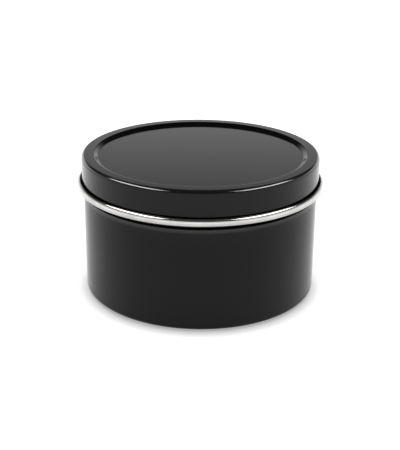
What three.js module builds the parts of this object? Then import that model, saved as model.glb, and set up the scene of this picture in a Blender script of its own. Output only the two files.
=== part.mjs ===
// A cake of rosin for a bowed string instrument, kept in a round slip-lid tin.
// Millimetres, +Z up. The origin is the centre of the tin's base, on the surface that it stands on.
//
// The tin's body and its lid are each one drawn sheet of tinplate whose edge is rolled outwards.
// Inside the tin are, from the base up, a foam pad, a gathered cloth and the cake that sits in it.
// The lid carries a foam liner under its panel.

import * as THREE from "three";

// ---- Driving dimensions -------------------------------------------------------------------------

const facets = 48; // sides of every round piece
const arcStep = 45; // degrees of a bend or curl that one facet spans, at most
const discDivisions = 2; // of each eased edge of a disc
const softDivisions = 3; // of each rounded edge of the cake and the cloth
const sheet = 0.25; // thickness of the tinplate
const closedHeight = 41.4; // base to the top of the closed lid
const lidRadius = 35; // outer face of the lid's skirt
const bodyRadius = 34.5; // outer face of the body's wall
const restGap = 0.1; // between metal faces that rest on each other
const softGap = 0.3; // between a soft piece and what it touches

// Lid: a sunken panel inside a flat rim, then a skirt that ends in an outward curl.
const lidDepth = 9.8; // top of the rim to the underside of the curl
const lidCorner = 1; // outside radius between rim and skirt
const panelDepth = 0.9;
const panelRadius = 30.2; // where the panel's step starts
const rimInnerRadius = 31.3; // where the step reaches the rim
const panelBend = 0.45;
const lidCurl = { halfWidth: 0.82, halfHeight: 1.15 }; // outside of the rolled edge, which is oval

// Body: a raised base panel, a wall, a shoulder, then a neck that ends in a small outward curl.
const baseRadius = 30; // edge of the raised base panel
const baseRise = 0.7;
const baseStep = 0.8; // width of the step round the base panel
const baseBend = 0.4;
const baseCorner = 1.5; // outside radius between base and wall
const shoulderDepth = 11.2; // top of the rim to the shoulder, which shows as a groove under the curl
const shoulderRise = 0.4;
const shoulderBend = 0.35;
const neckBend = 0.5;
const bodyCurl = { halfWidth: 0.575, halfHeight: 0.575 };
const curlSweep = THREE.MathUtils.degToRad(270); // that each edge is rolled through

// Contents.
const basePad = { radius: 33.1, thickness: 8, ease: 0.4 };
const liner = { radius: 29.2, thickness: 1.5, ease: 0.2 };
const cake = { radius: 26, height: 21, draft: 0.5, bevel: 1.6, footEase: 0.6 };
const cloth = { floor: 0.8, radius: 32.8, rimAboveCake: 3, rimRound: 1.2, footRound: 3.6 };

// ---- Shared shapes ------------------------------------------------------------------------------

const point = (r, z) => new THREE.Vector2(r, z);

// A round solid from its outline, which runs counter-clockwise in the plane of radius and height.
function turned(outline) {
  return new THREE.LatheGeometry(outline, facets).rotateX(Math.PI / 2);
}

// The middle line of a formed sheet: straight runs between corners, each corner bent to its radius.
function bentLine(corners) {
  const line = new THREE.CurvePath();
  let from = corners[0].at;
  for (let i = 1; i < corners.length - 1; i++) {
    const { at, bend } = corners[i];
    const arriving = at.clone().sub(corners[i - 1].at).normalize();
    const leaving = corners[i + 1].at.clone().sub(at).normalize();
    const turn = Math.atan2(arriving.cross(leaving), arriving.dot(leaving));
    const setback = bend * Math.tan(Math.abs(turn) / 2);
    const start = at.clone().addScaledVector(arriving, -setback);
    const toCentre = point(-arriving.y, arriving.x).multiplyScalar(bend * Math.sign(turn));
    const centre = start.clone().add(toCentre);
    const startAngle = toCentre.negate().angle();
    line.add(new THREE.LineCurve(from, start));
    line.add(arc(centre, bend, bend, startAngle, turn));
    from = at.clone().addScaledVector(leaving, setback);
  }
  line.add(new THREE.LineCurve(from, corners.at(-1).at));
  return line;
}

function arc(centre, xRadius, yRadius, start, turn) {
  return new THREE.EllipseCurve(centre.x, centre.y, xRadius, yRadius, start, start + turn, turn < 0);
}

// Rolls the sheet's last edge outwards, from an upright run whose middle line has the given radius. An
// edge that runs down rolls down, out and up. One that runs up rolls up, out and down.
function addCurl(line, curl, wallMiddle, centreHeight, sweep) {
  const xRadius = curl.halfWidth - sheet / 2;
  const yRadius = curl.halfHeight - sheet / 2;
  const centre = point(wallMiddle + xRadius, centreHeight);
  line.add(arc(centre, xRadius, yRadius, Math.PI, sweep));
}

// Both faces of a sheet, half its thickness either side of the middle line.
function sheetOutline(line) {
  const left = [];
  const right = [];
  line.curves.forEach((curve, index) => {
    const steps = arcSteps(curve);
    for (let i = index === 0 ? 0 : 1; i <= steps; i++) {
      const middle = curve.getPoint(i / steps);
      const along = curve.getTangent(i / steps);
      const across = point(-along.y, along.x).multiplyScalar(sheet / 2);
      left.push(middle.clone().add(across));
      right.push(middle.clone().sub(across));
    }
  });
  return [...right, ...left.reverse()];
}

function arcSteps(curve) {
  if (!curve.isEllipseCurve) return 1;
  const degrees = THREE.MathUtils.radToDeg(Math.abs(curve.aEndAngle - curve.aStartAngle));
  return Math.ceil(degrees / arcStep);
}

// A disc with its upper and lower edges eased by the given radius.
function disc(radius, low, high, ease) {
  const edge = new THREE.Path();
  edge.moveTo(0, low);
  edge.lineTo(radius - ease, low);
  edge.absarc(radius - ease, low + ease, ease, -Math.PI / 2, 0);
  edge.absarc(radius - ease, high - ease, ease, 0, Math.PI / 2);
  edge.lineTo(0, high);
  return turned(edge.getPoints(discDivisions));
}

function piece(name, geometry, material) {
  const mesh = new THREE.Mesh(geometry, material);
  mesh.name = name;
  return mesh;
}

// ---- Materials ----------------------------------------------------------------------------------

const blackLacquer = new THREE.MeshStandardMaterial({ color: 0x191919, roughness: 0.28, metalness: 0.1 });
const blackFoam = new THREE.MeshStandardMaterial({ color: 0x1c1c1e, roughness: 0.95, metalness: 0 });
const whiteFoam = new THREE.MeshStandardMaterial({ color: 0xe9e8e3, roughness: 0.7, metalness: 0 });
const velvet = new THREE.MeshStandardMaterial({ color: 0x3a0f18, roughness: 0.9, metalness: 0 });
const amber = new THREE.MeshStandardMaterial({ color: 0x8a3c0c, roughness: 0.12, metalness: 0 });

// ---- Tin ----------------------------------------------------------------------------------------

// The skirt runs straight down into its curl, so that the lid slides over the body's wall.
function tinLid() {
  const half = sheet / 2;
  const skirtMiddle = lidRadius - half;
  const rimMiddle = closedHeight - half;
  const panelMiddle = rimMiddle - panelDepth;
  const curlCentre = closedHeight - lidDepth + lidCurl.halfHeight;
  const line = bentLine([
    { at: point(0, panelMiddle) },
    { at: point(panelRadius, panelMiddle), bend: panelBend },
    { at: point(rimInnerRadius, rimMiddle), bend: panelBend },
    { at: point(skirtMiddle, rimMiddle), bend: lidCorner - half },
    { at: point(skirtMiddle, curlCentre) },
  ]);
  addCurl(line, lidCurl, skirtMiddle, curlCentre, curlSweep);
  return piece("tin_lid", turned(sheetOutline(line)), blackLacquer);
}

function tinBody() {
  const half = sheet / 2;
  const wallMiddle = bodyRadius - half;
  const shoulder = closedHeight - shoulderDepth;
  // The curl runs close inside the lid's skirt, and the lid's rim rests on its top.
  const neckMiddle = lidRadius - sheet - restGap - 2 * bodyCurl.halfWidth + half;
  const curlCentre = closedHeight - sheet - restGap - bodyCurl.halfHeight;
  const line = bentLine([
    { at: point(0, baseRise + half) },
    { at: point(baseRadius - baseStep, baseRise + half), bend: baseBend },
    { at: point(baseRadius, half), bend: baseBend },
    { at: point(wallMiddle, half), bend: baseCorner - half },
    { at: point(wallMiddle, shoulder), bend: shoulderBend - half },
    { at: point(neckMiddle, shoulder + shoulderRise), bend: neckBend - half },
    { at: point(neckMiddle, curlCentre) },
  ]);
  addCurl(line, bodyCurl, neckMiddle, curlCentre, -curlSweep);
  return piece("tin_body", turned(sheetOutline(line)), blackLacquer);
}

// ---- Contents -----------------------------------------------------------------------------------

const padBottom = baseRise + sheet + restGap;
const padTop = padBottom + basePad.thickness;
const clothBottom = padTop + softGap;
const cakeBottom = clothBottom + cloth.floor + softGap;
const cakeTop = cakeBottom + cake.height;
const linerTop = closedHeight - panelDepth - sheet - restGap;

function foamBasePad() {
  return piece("base_pad", disc(basePad.radius, padBottom, padTop, basePad.ease), blackFoam);
}

function foamLidLiner() {
  return piece("lid_liner", disc(liner.radius, linerTop - liner.thickness, linerTop, liner.ease), whiteFoam);
}

// A cast puck: its side leans in towards the base by the mould's draft, and both edges are eased.
function rosinCake() {
  const foot = cake.radius - cake.draft;
  const edge = new THREE.Path();
  edge.moveTo(0, cakeBottom);
  edge.lineTo(foot - cake.footEase, cakeBottom);
  edge.quadraticCurveTo(foot, cakeBottom, foot, cakeBottom + cake.footEase);
  edge.lineTo(cake.radius, cakeTop - cake.bevel);
  edge.quadraticCurveTo(cake.radius, cakeTop, cake.radius - cake.bevel, cakeTop);
  edge.lineTo(0, cakeTop);
  return piece("rosin_cake", turned(edge.getPoints(softDivisions)), amber);
}

// The room that the gathered cloth takes: a cup with the cake in it, its rim a little above the cake.
function clothWrap() {
  const inner = cake.radius + softGap;
  const top = cakeTop + cloth.rimAboveCake;
  const innerFloor = clothBottom + cloth.floor;
  const round = cloth.rimRound;
  const edge = new THREE.Path();
  edge.moveTo(0, clothBottom);
  edge.lineTo(cloth.radius - cloth.footRound, clothBottom);
  edge.quadraticCurveTo(cloth.radius, clothBottom, cloth.radius, clothBottom + cloth.footRound);
  edge.lineTo(cloth.radius, top - round);
  edge.quadraticCurveTo(cloth.radius, top, cloth.radius - round, top);
  edge.lineTo(inner + round, top);
  edge.quadraticCurveTo(inner, top, inner, top - round);
  edge.lineTo(inner, innerFloor);
  edge.lineTo(0, innerFloor);
  return piece("cloth_wrap", turned(edge.getPoints(softDivisions)), velvet);
}

// ---- Assembly -----------------------------------------------------------------------------------

const tin = new THREE.Group();
tin.add(tinBody(), foamBasePad());

const lid = new THREE.Group();
lid.add(tinLid(), foamLidLiner());

const wrappedCake = new THREE.Group();
wrappedCake.add(rosinCake(), clothWrap());

const rosin = new THREE.Group();
rosin.add(tin, lid, wrappedCake);

export default rosin;
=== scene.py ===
"""A cake of bow rosin in its round slip-lid tin, shut, on a pale floor under soft studio light.

The CAD frame gives the bodies and their boxes. Every CAD solid is faceted, so each is replaced here by a
smooth or soft piece of the same size. Lengths are in millimetres until MM turns them into metres, apart
from those of the floor, the lights and the shade at the tin's foot, which are in metres.
"""

import math

import bmesh
import bpy
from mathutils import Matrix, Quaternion, Vector, noise


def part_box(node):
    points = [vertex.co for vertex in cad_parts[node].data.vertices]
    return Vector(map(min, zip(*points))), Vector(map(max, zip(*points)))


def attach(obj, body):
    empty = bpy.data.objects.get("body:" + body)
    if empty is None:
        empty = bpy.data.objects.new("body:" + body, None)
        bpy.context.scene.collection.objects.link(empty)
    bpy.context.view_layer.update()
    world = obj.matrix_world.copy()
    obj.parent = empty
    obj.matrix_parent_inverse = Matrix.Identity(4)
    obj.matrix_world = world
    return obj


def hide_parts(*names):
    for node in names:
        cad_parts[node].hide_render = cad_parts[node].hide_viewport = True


MM = 0.001
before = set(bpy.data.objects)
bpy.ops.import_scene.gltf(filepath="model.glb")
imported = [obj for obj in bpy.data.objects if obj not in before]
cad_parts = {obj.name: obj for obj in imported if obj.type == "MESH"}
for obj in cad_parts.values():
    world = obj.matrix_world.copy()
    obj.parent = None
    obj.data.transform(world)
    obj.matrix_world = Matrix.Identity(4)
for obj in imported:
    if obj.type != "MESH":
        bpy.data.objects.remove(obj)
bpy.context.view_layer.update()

# ---- Dimensions, as in the CAD model ------------------------------------------------------------

SHEET = 0.25
CLOSED_HEIGHT = 41.4
LID_RADIUS = 35.0
BODY_RADIUS = 34.5
REST_GAP = 0.1

LID_DEPTH = 9.8
LID_CORNER = 1.0
PANEL_DEPTH = 0.9
PANEL_RADIUS = 30.2
RIM_INNER_RADIUS = 31.3
PANEL_BEND = 0.45
LID_CURL = (0.82, 1.15)  # half the width and half the height of the rolled edge

BASE_RADIUS = 30.0
BASE_RISE = 0.7
BASE_STEP = 0.8
BASE_BEND = 0.4
BASE_CORNER = 1.5
SHOULDER_DEPTH = 11.2
SHOULDER_RISE = 0.4
SHOULDER_BEND = 0.35
NECK_BEND = 0.5
BODY_CURL = (0.575, 0.575)
CURL_SWEEP = math.radians(270)

POLISHED = (28.9, 29.7, 31.4)  # heights where the lid's edge has polished the lacquer: from, most and to
HANDLED_ABOVE = (40.75, 40.95)  # where hands have polished the lid's corner: height from, and in full
HANDLED_BEYOND = (34.17, 34.34)  # and the same for the radius

SIDES = 240  # round the tin
BEND_STEP = math.radians(9)  # along the bends and rolled edges of the sheet
RUN_STEP = 5.0  # along its straight runs
SUPPORT = 0.15  # from the end of a run to its first ring, which keeps the run flat to the light
ON_AXIS = 1e-6  # a point nearer the axis than this is on it
SHARP_ABOVE = math.radians(40)  # turn of the surface that is left a sharp edge

FOAM_SIDES = 160
FOAM_EDGE_STEPS = 8
FOAM_HOLLOW = 0.05  # of the cut edge, as a share of the disc's thickness
FOAM_DIP = 0.06  # most that a face dips, as a share of the thickness
FOAM_DIP_SIZE = 9  # about how far apart the dips are

CAKE_DRAFT = 0.5
CAKE_FOOT = 0.6
CAKE_BEVEL = 1.6
CAKE_SINK = 0.35  # of the middle of its top
CAKE_SIDES = 300
CAKE_WALL_STEPS = 30
CAKE_TOP_RINGS = 60
CAKE_CHIPS = [(214, 1.5, 5), (231, 0.9, 3), (38, 1.1, 4), (305, 0.8, 2.5)]  # (bearing, depth, shell radius)
CHIP_RIPPLE = (0.05, 9)  # height of the ripples in a chip, and radians of ripple per millimetre

CLOTH_THICKNESS = 0.7
CLOTH_AIR = 0.3  # between the cake and the inner folds
CLOTH_FOLDS = 19
CLOTH_STEPS = 24  # points along each fold
CLOTH_RINGS = 60  # from the middle of the cloth to its cut edge
CLOTH_TURN_UP = 5.0  # height over which the folds grow
CLOTH_RIM_DROP = 1.8  # most that the cut edge dips below the top of the cloth's box
FOLD_CHANGE = (2.2, 0.07)  # how quickly the folds change round the cloth, and per millimetre of height
FOLD_STRAY = 4.2  # radians that a fold strays from its even place
FOLD_SIZE = (0.8, 0.7)  # mean swing of a fold, and how much it varies
PLEAT_SIZE = 0.34  # swing of the small pleats in the folds
PLEAT_STRAY = 6  # radians
DEPTH_HALVINGS = 20  # of the search for the folds' depth
RIM_CHANGE = 1.7  # how quickly the cut edge dips and rises round the cloth
RIM_SHARE = (2.5, 0.3)  # of the dips, from the cloth's own waves and from its folds
RIM_POWER = 3  # how quickly the dips fade below the cut edge

# ---- Camera and studio --------------------------------------------------------------------------

CAMERA_BACK = 8 * LID_RADIUS
CAMERA_UP = 129.8
CAMERA_DOWN = math.radians(21.77)
CAMERA_ROLL = math.radians(0.5)
SENSOR = 36.0
LENS = 79.6
TIN_MIDDLE = Vector((0, 0, CLOSED_HEIGHT / 2 * MM))  # in metres

FLOOR_REACH = 3.0
FLOOR_DROP = 0.0002
FLOOR_SHADE = 0.25  # how much of the studio light it gives back
FOOT_SHADOW_GLOW = (0.38, 0.74)  # glow of the floor at the tin's foot and clear of it, dimmer at the foot as a painted contact shadow
FOOT_SHADOW_SPAN = (0.0335, 0.0366)
FOOT_SHADOW_CENTRE = (0, -0.0012, 0)  # the shade at the foot lies a little to the front
FLOOR_GLOW = 1.15  # further out
FLOOR_GLOW_SPAN = (0.09, 0.13)

WALL_TOP = (math.radians(12.7), math.radians(25.4))
WALL_GLOW = 1.12
CEILING_GLOW = 0.06

LIGHT_BEARING = math.radians(77)
LIGHT_ELEVATION = math.radians(49)
LIGHT_DISTANCE = 0.6
LIGHT_SIZE = (0.56, 0.2)
LIGHT_WATTS = 2.2
TOP_LIGHT_SIZE = 0.9
TOP_LIGHT_HEIGHT = 0.8
TOP_LIGHT_WATTS = 14


# ---- Turned sheet metal -------------------------------------------------------------------------


def arc(centre, radii, start, turn):
    """Points from just after the start of an arc to its end. The two radii make it round or oval."""
    steps = math.ceil(abs(turn) / BEND_STEP)
    angles = [start + turn * i / steps for i in range(1, steps + 1)]
    return [centre + Vector((radii[0] * math.cos(a), radii[1] * math.sin(a))) for a in angles]


def run(start, end):
    """Points from just after the start of a straight run to its end."""
    length = (end - start).length
    if length < 3 * SUPPORT:
        return [end]
    steps = max(1, round((length - 2 * SUPPORT) / RUN_STEP))
    inner = [SUPPORT + (length - 2 * SUPPORT) * i / steps for i in range(steps + 1)]
    return [start.lerp(end, d / length) for d in inner] + [end]


def bent_line(corners, last):
    """The middle line of a formed sheet, from the axis out: corners are (radius, height, bend)."""
    at = [Vector(c[:2]) for c in corners] + [Vector(last)]
    line = [at[0]]
    for i in range(1, len(corners)):
        arriving = (at[i] - at[i - 1]).normalized()
        leaving = (at[i + 1] - at[i]).normalized()
        turn = math.atan2(arriving.cross(leaving), arriving.dot(leaving))
        bend = corners[i][2]
        start = at[i] - arriving * bend * math.tan(abs(turn) / 2)
        to_centre = Vector((-arriving.y, arriving.x)) * bend * math.copysign(1, turn)
        line += run(line[-1], start)
        line += arc(start + to_centre, (bend, bend), math.atan2(-to_centre.y, -to_centre.x), turn)
    return line + run(line[-1], at[-1])


def rolled_edge(curl, wall_middle, height, sweep):
    """The rolled edge: a positive sweep rolls a falling edge outwards, a negative one a rising edge."""
    radii = [half - SHEET / 2 for half in curl]
    return arc(Vector((wall_middle + radii[0], height)), radii, math.pi, sweep)


def faces_of(line):
    """The two faces of a sheet: to the left of its middle line and to the right of it."""
    left, right = [], []
    for i, middle in enumerate(line):
        along = (line[min(i + 1, len(line) - 1)] - line[max(i - 1, 0)]).normalized()
        across = Vector((-along.y, along.x)) * SHEET / 2
        left.append(middle + across)
        right.append(middle - across)
    return left, right


def turned(name, outline, slots, materials, sides=SIDES):
    """A solid of revolution. slots gives each stretch of the outline its material."""
    bm = bmesh.new()
    rings = []
    for p in outline:
        if p.x < ON_AXIS:
            rings.append([bm.verts.new((0, 0, p.y * MM))] * sides)
            continue
        angles = [2 * math.pi * i / sides for i in range(sides)]
        ring = [bm.verts.new((p.x * MM * math.cos(a), p.x * MM * math.sin(a), p.y * MM)) for a in angles]
        rings.append(ring)
    for low, high, slot in zip(rings, rings[1:], slots):
        for i in range(sides):
            j = (i + 1) % sides
            corners = list(dict.fromkeys([low[i], low[j], high[j], high[i]]))
            bm.faces.new(corners).material_index = slot
    bmesh.ops.recalc_face_normals(bm, faces=bm.faces)
    return finished(name, bm, materials)


def finished(name, bm, materials, sharp=SHARP_ABOVE):
    """A smooth-shaded object from a mesh, with an edge left sharp where the surface turns quickly."""
    mesh = bpy.data.meshes.new(name)
    bm.to_mesh(mesh)
    bm.free()
    mesh.shade_smooth()
    mesh.set_sharp_from_angle(angle=sharp)
    for m in materials:
        mesh.materials.append(m)
    piece = bpy.data.objects.new(name, mesh)
    bpy.context.scene.collection.objects.link(piece)
    return piece


def stands_for(piece, node, body):
    """Puts a piece in place of a CAD node, on its body."""
    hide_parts(node)
    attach(piece, body)


# ---- Materials ----------------------------------------------------------------------------------


class Shader:
    """A material's node tree, with short calls to add to it. Lengths in its textures are in metres."""

    def __init__(self, name):
        self.material = bpy.data.materials.new(name)
        self.material.use_nodes = True
        self.tree = self.material.node_tree
        self.surface = self.tree.nodes["Principled BSDF"]
        self.place = self.add("ShaderNodeTexCoord").outputs["Object"]

    def add(self, kind, sockets=None, **settings):
        node = self.tree.nodes.new(kind)
        for key, value in settings.items():
            setattr(node, key, value)
        for key, value in (sockets or {}).items():
            self.feed(node.inputs[key], value)
        return node

    def feed(self, socket, value):
        """Links a value that is another node's socket, and sets any other."""
        if isinstance(value, bpy.types.NodeSocket):
            self.tree.links.new(value, socket)
        else:
            socket.default_value = value

    def set(self, **sockets):
        """Sets or links the surface's own sockets."""
        for key, value in sockets.items():
            self.feed(self.surface.inputs[key.replace("_", " ")], value)

    def math(self, operation, a, b=0.0, c=0.0):
        return self.add("ShaderNodeMath", {0: a, 1: b, 2: c}, operation=operation).outputs[0]

    def noise(self, size, detail=3.0, rough=0.5, place=None):
        """Noise whose features are about the given size across, in millimetres."""
        sockets = {
            "Vector": place or self.place,
            "Scale": 1 / (size * MM),
            "Detail": detail,
            "Roughness": rough,
        }
        return self.add("ShaderNodeTexNoise", sockets).outputs["Fac"]

    def cells(self, size):
        """Distance to the nearest cell's middle, for cells about the given size across, in millimetres."""
        sockets = {"Vector": self.place, "Scale": 1 / (size * MM)}
        return self.add("ShaderNodeTexVoronoi", sockets).outputs["Distance"]

    def spread(self, value, low, high, start=0.0, end=1.0):
        """Maps low to high onto start to end, and no further."""
        sockets = {"Value": value, "From Min": low, "From Max": high, "To Min": start, "To Max": end}
        return self.add("ShaderNodeMapRange", sockets).outputs["Result"]

    def step(self, value, span):
        """From 0 to 1 over a span given in millimetres."""
        return self.spread(value, span[0] * MM, span[1] * MM)

    def blend(self, factor, a, b):
        """From a to b, each of which is a colour or a socket."""
        mix = self.add("ShaderNodeMix", data_type="RGBA")
        self.feed(mix.inputs[0], factor)
        self.feed(mix.inputs[6], a if isinstance(a, bpy.types.NodeSocket) else (*a, 1))
        self.feed(mix.inputs[7], b if isinstance(b, bpy.types.NodeSocket) else (*b, 1))
        return mix.outputs[2]

    def bump(self, height, depth, strength=1.0, under=None):
        """A relief of the given depth, in millimetres, over any other relief."""
        sockets = {"Height": height, "Distance": depth * MM, "Strength": strength}
        if under is not None:
            sockets["Normal"] = under
        return self.add("ShaderNodeBump", sockets).outputs["Normal"]

    def round_place(self, along):
        """Coordinates (radius, height, travel round the axis shrunk by along), for grain that runs round."""
        xyz = self.add("ShaderNodeSeparateXYZ", {0: self.place}).outputs
        radius = self.math("SQRT", self.math("MULTIPLY_ADD", xyz[0], xyz[0], self.math("POWER", xyz[1], 2.0)))
        angle = self.math("ARCTAN2", xyz[1], xyz[0])
        travel = self.math("MULTIPLY", angle, LID_RADIUS * MM * along)
        return self.add("ShaderNodeCombineXYZ", {0: radius, 1: xyz[2], 2: travel}).outputs[0]


def black_lacquer():
    """Glossy black stoving lacquer, polished by the lid's edge under it and by hands at its corner."""
    s = Shader("black_lacquer")
    black, dusty = (0.0012, 0.0012, 0.0013), (0.012, 0.012, 0.012)
    patches = s.noise(9, detail=4)
    peel = s.noise(0.55, detail=2)
    dents = s.noise(22, detail=1)
    specks = s.cells(2.6)
    dust = s.spread(specks, 0.02, 0.045, 1.0, 0.0)
    radius, height, _ = s.add("ShaderNodeSeparateXYZ", {0: s.round_place(1)}).outputs
    corner = s.math("MULTIPLY", s.step(height, HANDLED_ABOVE), s.step(radius, HANDLED_BEYOND))
    above = s.step(height, POLISHED[:2])
    polished = s.math("MULTIPLY", above, s.spread(height, POLISHED[1] * MM, POLISHED[2] * MM, 1.0, 0.0))
    s.set(
        Base_Color=s.blend(dust, black, dusty),
        Roughness=s.spread(patches, 0.3, 0.7, 0.08, 0.13),
        Normal=s.bump(peel, 0.0012, under=s.bump(dents, 0.03)),
        Coat_Weight=s.math("MULTIPLY_ADD", polished, s.spread(patches, 0.3, 0.6, 0.2, 0.26), corner),
    )
    s.surface.inputs["IOR"].default_value = 1.5
    s.surface.inputs["Specular IOR Level"].default_value = 0.18
    s.surface.inputs["Coat IOR"].default_value = 1.8
    s.surface.inputs["Coat Roughness"].default_value = 0.12
    return s.material


def bare_tinplate():
    """Bright rolled steel with a thin tin coat: fine grain that runs round the rolled edges and walls."""
    s = Shader("bare_tinplate")
    bright, bloomed = (0.56, 0.555, 0.545), (0.45, 0.445, 0.435)
    grain = s.noise(0.12, detail=4, rough=0.65, place=s.round_place(0.02))
    bloom = s.noise(5, detail=4, rough=0.6)
    s.set(
        Base_Color=s.blend(s.spread(bloom, 0.35, 0.7), bright, bloomed),
        Metallic=1.0,
        Roughness=s.spread(s.math("ADD", grain, bloom), 0.7, 1.3, 0.1, 0.17),
        Normal=s.bump(grain, 0.0025),
    )
    return s.material


def foam(name, colour, pore_shade_colour, cell):
    """Matt foam, a little mottled, with open pores as far apart as cell, each pore darker as painted shade.
    """
    s = Shader(name)
    pores = s.cells(cell)
    tone = s.noise(7, detail=3)
    darker = [c * 0.86 for c in colour]
    mottled = s.blend(s.spread(tone, 0.3, 0.7), colour, darker)
    s.set(
        # painted shade: each open pore is darker than the foam round it
        Base_Color=s.blend(s.spread(pores, 0.1, 0.45), pore_shade_colour, mottled),
        Roughness=s.spread(tone, 0.2, 0.8, 0.85, 0.97),
        Normal=s.bump(pores, cell * 0.3, strength=0.8, under=s.bump(tone, 0.12)),
    )
    s.surface.inputs["Specular IOR Level"].default_value = 0.25
    return s.material


def velvet():
    """Dark wine velvet with a crushed short pile."""
    s = Shader("velvet")
    wine, worn_wine = (0.018, 0.0012, 0.003), (0.07, 0.006, 0.012)
    crush = s.noise(4.5, detail=4, rough=0.55)
    pile = s.noise(0.22, detail=2, rough=0.7)
    shade = s.math("ADD", s.math("MULTIPLY", crush, 0.7), s.math("MULTIPLY", pile, 0.3))
    s.set(
        Base_Color=s.blend(s.spread(shade, 0.36, 0.66), wine, worn_wine),
        Roughness=s.spread(crush, 0.3, 0.7, 0.78, 0.95),
        Normal=s.bump(pile, 0.18, strength=0.7, under=s.bump(crush, 0.25)),
    )
    s.surface.inputs["Specular IOR Level"].default_value = 0.15
    s.surface.inputs["Sheen Weight"].default_value = 0.6
    s.surface.inputs["Sheen Roughness"].default_value = 0.3
    s.surface.inputs["Sheen Tint"].default_value = (0.6, 0.06, 0.12, 1)
    return s.material


def rosin():
    """Clear dark amber, a little cloudy: glossy as cast, but rubbed to satin and powdered on its top."""
    s = Shader("amber_rosin")
    dark_amber, light_amber = (0.085, 0.0075, 0.0003), (0.22, 0.033, 0.0012)
    bubble_colour, powder_colour = (0.55, 0.2, 0.03), (0.7, 0.5, 0.3)
    one_way = s.add("ShaderNodeMapping", {"Vector": s.place, "Scale": (0.04, 1.0, 1.0)}).outputs[0]
    rubbing = s.noise(0.16, detail=4, rough=0.7, place=one_way)
    clouds = s.noise(17, detail=2, rough=0.4)
    bubbles = s.spread(s.cells(2.1), 0.03, 0.075, 1.0, 0.0)
    powder = s.spread(s.noise(0.5, detail=6, rough=0.75), 0.56, 0.75)
    normal = s.add("ShaderNodeTexCoord").outputs["Normal"]
    facing_up = s.add("ShaderNodeSeparateXYZ", {0: normal}).outputs[2]
    top = s.spread(facing_up, 0.9, 0.999)
    dusty = s.math("MULTIPLY", top, s.math("MULTIPLY", powder, s.spread(s.noise(8), 0.42, 0.66)))
    amber = s.blend(s.spread(clouds, 0.3, 0.7), dark_amber, light_amber)
    flecked = s.blend(s.math("MULTIPLY", bubbles, 0.45), amber, bubble_colour)
    s.set(
        Base_Color=s.blend(s.math("MULTIPLY", dusty, 0.5), flecked, powder_colour),
        Roughness=s.math("MULTIPLY_ADD", top, s.spread(rubbing, 0.3, 0.7, 0.36, 0.5), 0.07),
        Normal=s.bump(rubbing, 0.006, strength=0.5, under=s.bump(clouds, 0.05)),
        Coat_Weight=s.spread(top, 0.0, 1.0, 1.0, 0.12),
    )
    s.surface.inputs["IOR"].default_value = 1.53
    s.surface.inputs["Specular IOR Level"].default_value = 0.3
    s.surface.inputs["Coat IOR"].default_value = 1.4
    s.surface.inputs["Coat Roughness"].default_value = 0.04
    s.surface.inputs["Subsurface Weight"].default_value = 1.0
    s.surface.inputs["Subsurface Radius"].default_value = (1.0, 0.25, 0.04)
    s.surface.inputs["Subsurface Scale"].default_value = 5 * MM
    return s.material


# ---- Tin ----------------------------------------------------------------------------------------

OUTSIDE, INSIDE = 0, 1


def tin_lid(materials):
    """The lid, from the middle of its sunken panel out over the rim and down the skirt to its curl."""
    half = SHEET / 2
    skirt = LID_RADIUS - half
    rim = CLOSED_HEIGHT - half
    curl_height = CLOSED_HEIGHT - LID_DEPTH + LID_CURL[1]
    corners = [
        (0, rim - PANEL_DEPTH, 0),
        (PANEL_RADIUS, rim - PANEL_DEPTH, PANEL_BEND),
        (RIM_INNER_RADIUS, rim, PANEL_BEND),
        (skirt, rim, LID_CORNER - half),
    ]
    line = bent_line(corners, (skirt, curl_height))
    line += rolled_edge(LID_CURL, skirt, curl_height, CURL_SWEEP)
    outer, inner = faces_of(line)
    slots = [OUTSIDE] * (len(outer) - 1) + [INSIDE] * len(inner)
    return turned("tin_lid_sheet", outer + inner[::-1], slots, materials)


def tin_body(materials):
    """The body, from the middle of its base out and up the wall to the curl on top of its neck."""
    half = SHEET / 2
    wall = BODY_RADIUS - half
    shoulder = CLOSED_HEIGHT - SHOULDER_DEPTH
    neck = LID_RADIUS - SHEET - REST_GAP - 2 * BODY_CURL[0] + half
    curl_height = CLOSED_HEIGHT - SHEET - REST_GAP - BODY_CURL[1]
    corners = [
        (0, BASE_RISE + half, 0),
        (BASE_RADIUS - BASE_STEP, BASE_RISE + half, BASE_BEND),
        (BASE_RADIUS, half, BASE_BEND),
        (wall, half, BASE_CORNER - half),
        (wall, shoulder, SHOULDER_BEND - half),
        (neck, shoulder + SHOULDER_RISE, NECK_BEND - half),
    ]
    line = bent_line(corners, (neck, curl_height))
    line += rolled_edge(BODY_CURL, neck, curl_height, -CURL_SWEEP)
    inner, outer = faces_of(line)
    slots = [OUTSIDE] * (len(outer) - 1) + [INSIDE] * len(inner)
    return turned("tin_body_sheet", outer + inner[::-1], slots, materials)


# ---- Contents -----------------------------------------------------------------------------------


def radius_and_heights(node):
    """A round node's radius, and its lowest and highest points, in millimetres."""
    low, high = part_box(node)
    return high[0] / MM, low[2] / MM, high[2] / MM


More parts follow.
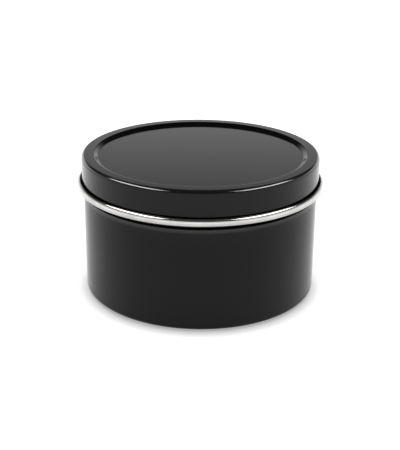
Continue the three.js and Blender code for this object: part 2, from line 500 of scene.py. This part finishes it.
def foam_disc(name, node, material, ease, seed):
    """A die-cut foam disc: its cut edge is a little hollow, and its faces are not quite flat."""
    radius, low, high = radius_and_heights(node)
    thickness = high - low
    hollow = FOAM_HOLLOW * thickness
    outline = [Vector((0, low))]
    outline += run(outline[-1], Vector((radius - ease, low)))
    outline += arc(Vector((radius - ease, low + ease)), (ease, ease), -math.pi / 2, math.pi / 2)
    for i in range(1, FOAM_EDGE_STEPS):
        across = i / FOAM_EDGE_STEPS
        pinch = hollow * math.sin(math.pi * across)
        outline.append(Vector((radius - pinch, low + ease + across * (thickness - 2 * ease))))
    outline.append(Vector((radius, high - ease)))
    outline += arc(Vector((radius - ease, high - ease)), (ease, ease), 0, math.pi / 2)
    outline += run(outline[-1], Vector((0, high)))
    piece = turned(name, outline, [0] * len(outline), [material], sides=FOAM_SIDES)
    for v in piece.data.vertices:
        dip = (1 + noise.noise(v.co / (FOAM_DIP_SIZE * MM) + Vector((seed, 0, 0)))) / 2
        toward_middle = 1 if v.co.z < (low + high) / 2 * MM else -1
        v.co.z += toward_middle * FOAM_DIP * thickness * dip * MM
    return piece


def rosin_cake(material):
    """A cast puck with a slightly sunken top and a few shell-shaped chips in its upper edge."""
    radius, low, high = radius_and_heights("rosin_cake")
    foot = radius - CAKE_DRAFT
    outline = [Vector((0, low))]
    outline += run(outline[-1], Vector((foot - CAKE_FOOT, low)))
    foot_round, bevel = (CAKE_FOOT, CAKE_FOOT), (CAKE_BEVEL, CAKE_BEVEL)
    outline += arc(Vector((foot - CAKE_FOOT, low + CAKE_FOOT)), foot_round, -math.pi / 2, math.pi / 2)
    wall_foot, wall_head = outline[-1], Vector((radius, high - CAKE_BEVEL))
    outline += [wall_foot.lerp(wall_head, i / CAKE_WALL_STEPS) for i in range(1, CAKE_WALL_STEPS + 1)]
    outline += arc(Vector((radius - CAKE_BEVEL, high - CAKE_BEVEL)), bevel, 0, math.pi / 2)
    rim = outline[-1]
    for i in range(1, CAKE_TOP_RINGS + 1):
        inward = i / CAKE_TOP_RINGS
        sink = CAKE_SINK * math.sin(math.pi / 2 * min(1, inward * 2)) ** 2
        outline.append(Vector((rim.x * (1 - inward), high - sink)))
    piece = turned("rosin_cake_cast", outline, [0] * len(outline), [material], sides=CAKE_SIDES)
    for bearing, depth, shell in CAKE_CHIPS:
        chip(piece, Vector((radius, 0, high)), math.radians(bearing), depth, shell)
    return piece


def chip(piece, edge, bearing, depth, shell):
    """Presses the cake's upper edge in to a round shell, as rosin breaks, with faint ripples in it."""
    out = Vector((math.cos(bearing), math.sin(bearing), 1)).normalized()
    corner = Vector((edge.x * math.cos(bearing), edge.x * math.sin(bearing), edge.z))
    centre = corner + out * (shell - depth)
    height, pace = CHIP_RIPPLE
    for v in piece.data.vertices:
        away = v.co / MM - centre
        if away.length < shell:
            ripple = height * math.sin(pace * (v.co / MM - corner).length)
            v.co = (centre + away.normalized() * (shell + ripple)) * MM


def folds(lift):
    """The folds round the cloth at a height above the turn-up, as swings in, below 0, and out, above 0."""
    swings = []
    round_about, upwards = FOLD_CHANGE
    for j in range(CLOTH_FOLDS * CLOTH_STEPS):
        angle = 2 * math.pi * j / (CLOTH_FOLDS * CLOTH_STEPS)
        place = Vector((round_about * math.cos(angle), round_about * math.sin(angle), upwards * lift))
        drift = noise.noise(place)
        split = noise.noise(place + Vector((7, 3, 5)))
        phase = CLOTH_FOLDS * angle + FOLD_STRAY * drift
        pleat = PLEAT_SIZE * math.sin(2 * phase + PLEAT_STRAY * split)
        swings.append((FOLD_SIZE[0] + FOLD_SIZE[1] * split) * math.sin(phase) + pleat)
    return swings


def gathered_ring(radius, room, swings, stretch):
    """Radii round a ring of folds, as deep as makes the ring so many times the circle's length."""
    step = 2 * math.pi * radius / len(swings)
    shallow, deep = 0.0, radius
    for _ in range(DEPTH_HALVINGS):
        depth = (shallow + deep) / 2
        radii = [radius + room * math.tanh(depth * swing / room) for swing in swings]
        length = sum(math.hypot(step, b - a) for a, b in zip(radii, radii[1:] + radii[:1]))
        if length < stretch * step * len(swings):
            shallow = depth
        else:
            deep = depth
    return radii


def cloth_wrap(material):
    """A round velvet cloth: flat under the cake, then gathered in folds up the cake's side."""
    outer, low, high = radius_and_heights("cloth_wrap")
    inner = radius_and_heights("rosin_cake")[0] + CLOTH_AIR
    turn_up, floor_height = (inner + outer) / 2, low + CLOTH_THICKNESS / 2
    rise = high - CLOTH_THICKNESS / 2 - CLOTH_RIM_DROP / 2 - floor_height
    cut_radius = turn_up + rise
    room = (outer - inner - CLOTH_THICKNESS) / 2
    around = CLOTH_FOLDS * CLOTH_STEPS
    bm = bmesh.new()
    middle = bm.verts.new((0, 0, floor_height * MM))
    rows = [[middle] * around]
    for i in range(1, CLOTH_RINGS + 1):
        reach = cut_radius * i / CLOTH_RINGS
        radius, lift = min(reach, turn_up), max(0.0, reach - turn_up)
        stretch = 1 + (reach / radius - 1) * min(1.0, lift / CLOTH_TURN_UP)
        swings = folds(lift)
        radii = gathered_ring(radius, room, swings, stretch)
        row = []
        for j, (at, swing) in enumerate(zip(radii, swings)):
            angle = 2 * math.pi * j / around
            wave = noise.noise(Vector((math.cos(angle), math.sin(angle), 4)) * RIM_CHANGE)
            waviness = math.tanh(RIM_SHARE[0] * wave + RIM_SHARE[1] * swing)
            dip = CLOTH_RIM_DROP / 2 * waviness * (lift / rise) ** RIM_POWER
            place = Vector((at * math.cos(angle), at * math.sin(angle), floor_height + lift + dip))
            row.append(bm.verts.new(place * MM))
        rows.append(row)
    for below, above in zip(rows, rows[1:]):
        for j in range(around):
            k = (j + 1) % around
            bm.faces.new(list(dict.fromkeys([below[j], below[k], above[k], above[j]])))
    bmesh.ops.recalc_face_normals(bm, faces=bm.faces)
    piece = finished("cloth_gathered", bm, [material], sharp=math.pi)
    thicken = piece.modifiers.new("thickness", "SOLIDIFY")
    thicken.thickness = CLOTH_THICKNESS * MM
    thicken.offset = 0
    return piece


# ---- Assembly -----------------------------------------------------------------------------------


def build():
    """Every visible piece, each in place of its CAD node."""
    skins = [black_lacquer(), bare_tinplate()]
    stands_for(tin_body(skins), "tin_body", "tin")
    stands_for(tin_lid(skins), "tin_lid", "lid")
    pad_foam = foam("black_foam", (0.022, 0.022, 0.024), (0.006, 0.006, 0.006), 0.5)
    pad = foam_disc("foam_base_pad", "base_pad", pad_foam, ease=0.5, seed=3)
    stands_for(pad, "base_pad", "tin")
    liner_foam = foam("white_foam", (0.78, 0.77, 0.74), (0.55, 0.54, 0.51), 0.35)
    liner = foam_disc("foam_lid_liner", "lid_liner", liner_foam, ease=0.2, seed=11)
    stands_for(liner, "lid_liner", "liner")
    stands_for(rosin_cake(rosin()), "rosin_cake", "cake")
    stands_for(cloth_wrap(velvet()), "cloth_wrap", "cake")


# ---- Studio -------------------------------------------------------------------------------------


def floor():
    """A pale table that glows as if lit from below, a little brighter away from the tin: painted shade round
    the tin and a painted contact shadow at its foot.
    """
    bm = bmesh.new()
    bmesh.ops.create_grid(bm, x_segments=1, y_segments=1, size=FLOOR_REACH)
    s = Shader("pale_table")
    away = s.add("ShaderNodeVectorMath", {0: s.place, 1: FOOT_SHADOW_CENTRE}, operation="DISTANCE")
    distance = away.outputs["Value"]
    # painted contact shadow: the floor glows less at the tin's foot
    painted_foot_shadow = s.spread(distance, *FOOT_SHADOW_SPAN, *FOOT_SHADOW_GLOW)
    # painted shade: the floor glows less near the tin than further out
    far = s.spread(distance, *FLOOR_GLOW_SPAN, 0.0, FLOOR_GLOW - FOOT_SHADOW_GLOW[1])
    s.set(
        Base_Color=(FLOOR_SHADE, FLOOR_SHADE, FLOOR_SHADE, 1),
        Roughness=0.6,
        Specular_IOR_Level=0.1,
        Emission_Color=(1, 1, 1, 1),
        Emission_Strength=s.math("ADD", painted_foot_shadow, far),
    )
    table = finished("table", bm, [s.material])
    table.location.z = -FLOOR_DROP


def softbox(name, side):
    """A light that is only mirrored, and to the tin's right for side 1 or to its left for side -1."""
    light = bpy.data.lights.new(name, "AREA")
    light.shape = "RECTANGLE"
    light.size, light.size_y = LIGHT_SIZE
    light.energy = LIGHT_WATTS
    lamp = bpy.data.objects.new(name, light)
    across = math.cos(LIGHT_ELEVATION)
    right = side * math.sin(LIGHT_BEARING) * across
    away = Vector((right, -math.cos(LIGHT_BEARING) * across, math.sin(LIGHT_ELEVATION)))
    lamp.location = TIN_MIDDLE + away * LIGHT_DISTANCE
    lamp.rotation_euler = away.to_track_quat("Z", "Y").to_euler()
    lamp.visible_diffuse = False
    bpy.context.scene.collection.objects.link(lamp)


def top_light():
    """A broad soft light overhead, which shiny surfaces don't mirror."""
    light = bpy.data.lights.new("top_light", "AREA")
    light.size = TOP_LIGHT_SIZE
    light.energy = TOP_LIGHT_WATTS
    lamp = bpy.data.objects.new("top_light", light)
    lamp.location.z = TOP_LIGHT_HEIGHT
    lamp.visible_glossy = False
    bpy.context.scene.collection.objects.link(lamp)


def room():
    """Pale walls that fade to a dim ceiling."""
    world = bpy.data.worlds.new("room")
    world.use_nodes = True
    tree = world.node_tree
    place = tree.nodes.new("ShaderNodeTexCoord")
    xyz = tree.nodes.new("ShaderNodeSeparateXYZ")
    fade = tree.nodes.new("ShaderNodeMapRange")
    fade.inputs["From Min"].default_value = math.sin(WALL_TOP[0])
    fade.inputs["From Max"].default_value = math.sin(WALL_TOP[1])
    fade.inputs["To Min"].default_value = WALL_GLOW
    fade.inputs["To Max"].default_value = CEILING_GLOW
    tree.links.new(place.outputs["Generated"], xyz.inputs[0])
    tree.links.new(xyz.outputs["Z"], fade.inputs["Value"])
    tree.links.new(fade.outputs["Result"], tree.nodes["Background"].inputs["Strength"])
    tree.nodes["Background"].inputs["Color"].default_value = (1, 1, 1, 1)
    bpy.context.scene.world = world


def camera():
    """The camera, in front of the tin and looking down on it."""
    data = bpy.data.cameras.new("camera")
    data.sensor_width = SENSOR
    data.lens = LENS
    data.clip_start = 0.01
    viewer = bpy.data.objects.new("camera", data)
    viewer.location = (0, -CAMERA_BACK * MM, CAMERA_UP * MM)
    ahead = Vector((0, math.cos(CAMERA_DOWN), -math.sin(CAMERA_DOWN)))
    viewer.rotation_mode = "QUATERNION"
    viewer.rotation_quaternion = ahead.to_track_quat("-Z", "Y") @ Quaternion((0, 0, 1), CAMERA_ROLL)
    bpy.context.scene.collection.objects.link(viewer)
    bpy.context.scene.camera = viewer


build()
floor()
softbox("left_softbox", -1)
softbox("right_softbox", 1)
top_light()
room()
camera()
bpy.context.scene.view_settings.view_transform = "Standard"
